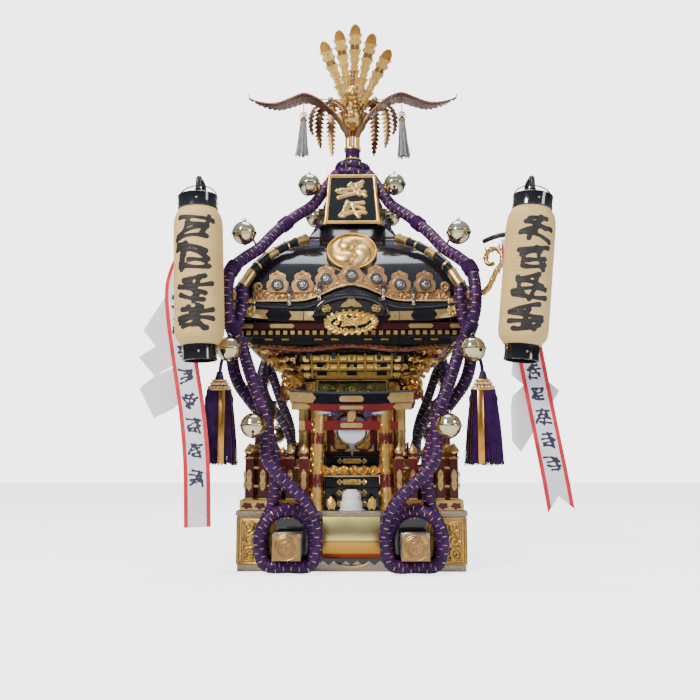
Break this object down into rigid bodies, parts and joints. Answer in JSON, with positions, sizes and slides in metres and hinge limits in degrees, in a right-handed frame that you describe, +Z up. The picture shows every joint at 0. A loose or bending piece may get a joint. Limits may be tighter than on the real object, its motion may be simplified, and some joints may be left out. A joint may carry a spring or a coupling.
{
  "type": "portable shrine",
  "caption": "Square lacquered portable shrine with fence, gates, curved roof topped by a phoenix, thick looped cords with bells and long paper lanterns.",
  "frame": {"origin": "middle of the base's underside", "axes": "+Z up, front towards -Y, +X to the right of someone who faces the front from outside"},
  "size_m": [1.355, 1.2014, 2.1408],
  "materials": {
    "silver_plate": "polished, lightly worn",
    "black_lacquer": "glossy lacquer on wood",
    "pole_metal": "aged satin metal cladding on wood",
    "polished_brass": "mirror polish",
    "red_lacquer": "satin lacquer",
    "gilt_metal": "gilt, chased",
    "white_offering": "matt",
    "purple_cord": "twisted silk cord with gold thread",
    "bell_brass": "polished pale",
    "lantern_paper": "oiled ribbed paper",
    "white_paper": "plain"
  },
  "bodies": {
    "root": {"base_foot_board": "silver_plate", "base_frame": "black_lacquer", "base_top_board": "silver_plate", "bell_eave_left": "bell_brass", "bell_eave_right": "bell_brass", "bell_low_left": "bell_brass", "bell_low_right": "bell_brass", "bell_ridge_left": "bell_brass", "bell_ridge_right": "bell_brass", "bell_upper_left": "bell_brass", "bell_upper_right": "bell_brass", "brackets": "gilt_metal", "carry_pole_left": "pole_metal", "carry_pole_right": "pole_metal", "cord_back_left": "purple_cord", "cord_back_right": "purple_cord", "cord_front_left": "purple_cord", "cord_front_right": "purple_cord", "corner_scroll_back_left": "gilt_metal", "corner_scroll_back_right": "gilt_metal", "corner_scroll_front_left": "gilt_metal", "corner_scroll_front_right": "gilt_metal", "door_left": "red_lacquer", "door_right": "red_lacquer", "eaves": "red_lacquer", "fence_back": "red_lacquer", "fence_front_left": "red_lacquer", "fence_front_right": "red_lacquer", "fence_left": "red_lacquer", "fence_right": "red_lacquer", "frieze": "gilt_metal", "front_apron": "polished_brass", "gate_beams": "black_lacquer", "gate_pillar_left": "gilt_metal", "gate_pillar_right": "gilt_metal", "hall_walls": "red_lacquer", "lantern_bottom_left": "black_lacquer", "lantern_bottom_right": "black_lacquer", "lantern_hanger_left": "black_lacquer", "lantern_hanger_right": "black_lacquer", "lantern_paper_left": "lantern_paper", "lantern_paper_right": "lantern_paper", "lantern_top_left": "black_lacquer", "lantern_top_right": "black_lacquer", "mirror": "silver_plate", "offering": "white_offering", "paper_streamer_left": "white_paper", "paper_streamer_right": "white_paper", "phoenix_body": "gilt_metal", "phoenix_tail": "gilt_metal", "phoenix_wing_left": "gilt_metal", "phoenix_wing_right": "gilt_metal", "plaque": "black_lacquer", "podium": "black_lacquer", "ribbon_left": "white_paper", "ribbon_right": "white_paper", "roof": "black_lacquer", "roof_crown": "black_lacquer", "tassel_left": "purple_cord", "tassel_right": "purple_cord"}
  },
  "joints": []
}
